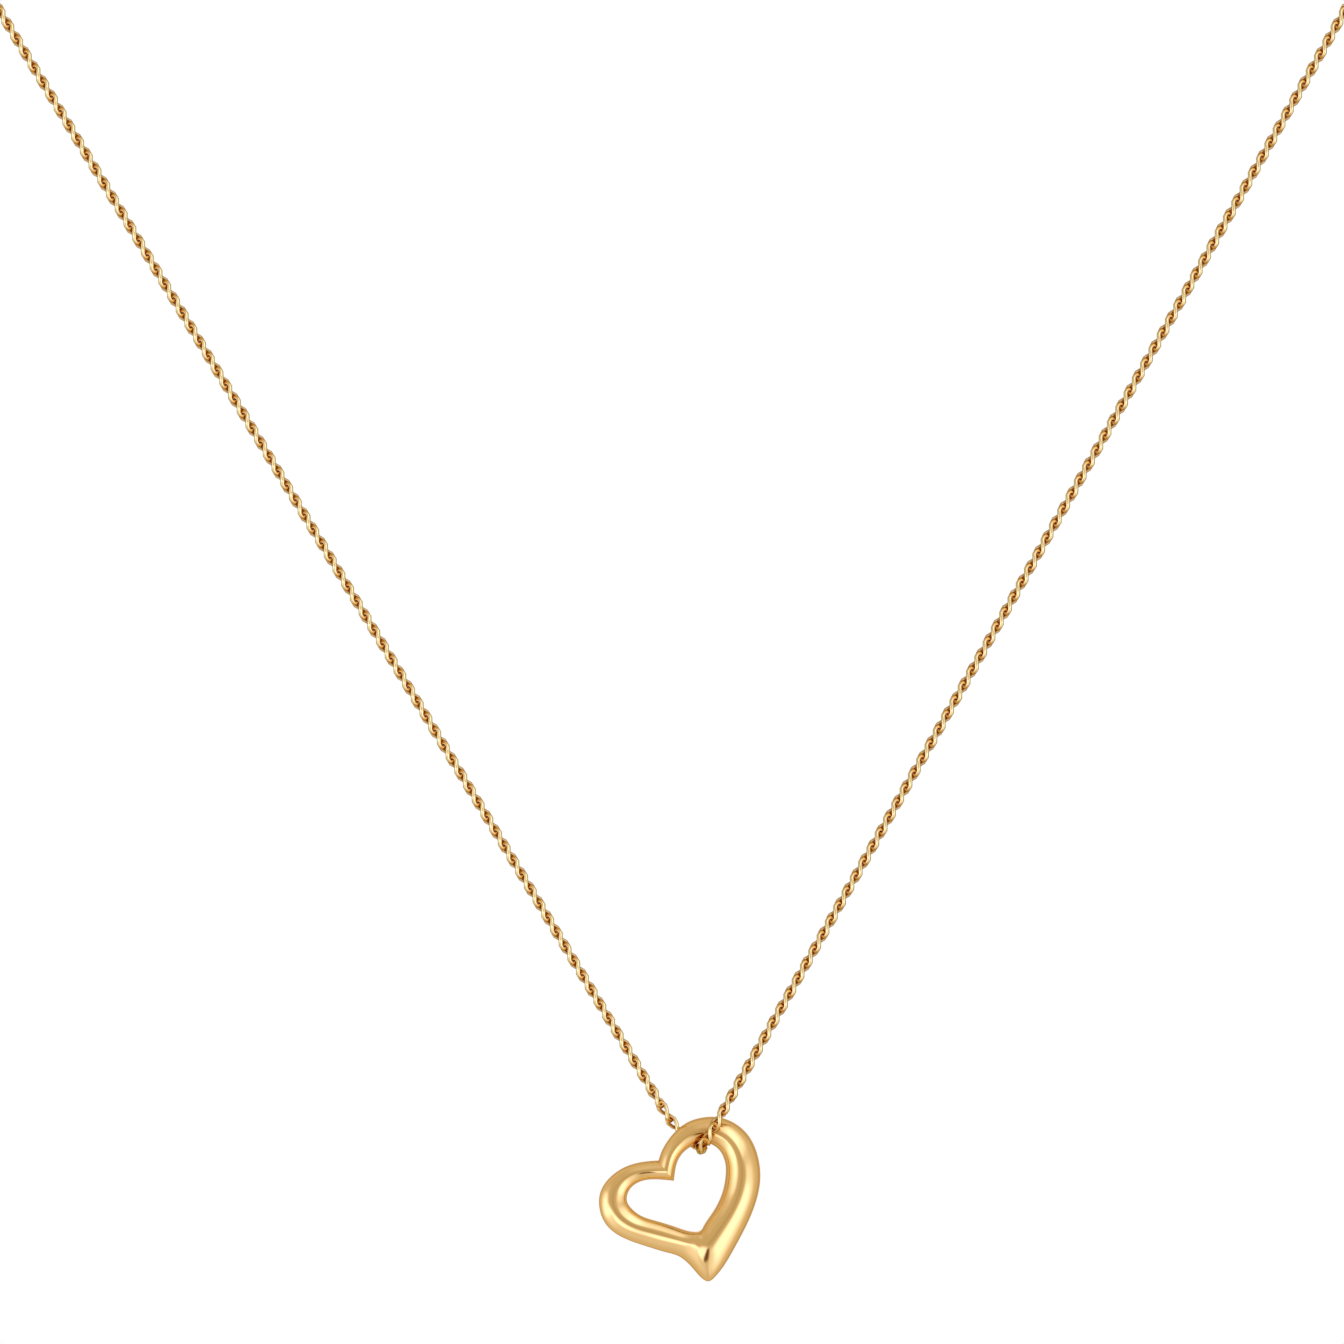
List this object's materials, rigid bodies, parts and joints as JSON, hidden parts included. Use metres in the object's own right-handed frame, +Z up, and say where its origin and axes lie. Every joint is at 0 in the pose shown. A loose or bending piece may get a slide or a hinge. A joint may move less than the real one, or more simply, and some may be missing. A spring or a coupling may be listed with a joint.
{
  "type": "heart pendant necklace",
  "caption": "Open heart pendant, hanging by one lobe from a fine chain of twisted oval links that closes at the nape with a plain ring clasp.",
  "frame": {"origin": "the nape of the neck, on the inner face of the clasp", "axes": "+Z up, the front of the heart faces -Y, +X to the right seen from the front"},
  "size_m": [0.1471, 0.0587, 0.1515],
  "materials": {
    "heart_gold": "mirror polished yellow gold plate",
    "chain_gold": "polished yellow gold plate on drawn wire"
  },
  "bodies": {
    "necklace": {"chain": "chain_gold", "clasp": "chain_gold", "jump_ring": "chain_gold", "end_ring": "chain_gold"},
    "pendant": {"heart": "heart_gold"}
  },
  "joints": [
    {"name": "heart_swing", "type": "hinge", "parent": "necklace", "child": "pendant", "pos_m": [0.0029, -0.0535, -0.1355], "axis": [0, 1, 0], "range_deg": [-35, 35]}
  ]
}
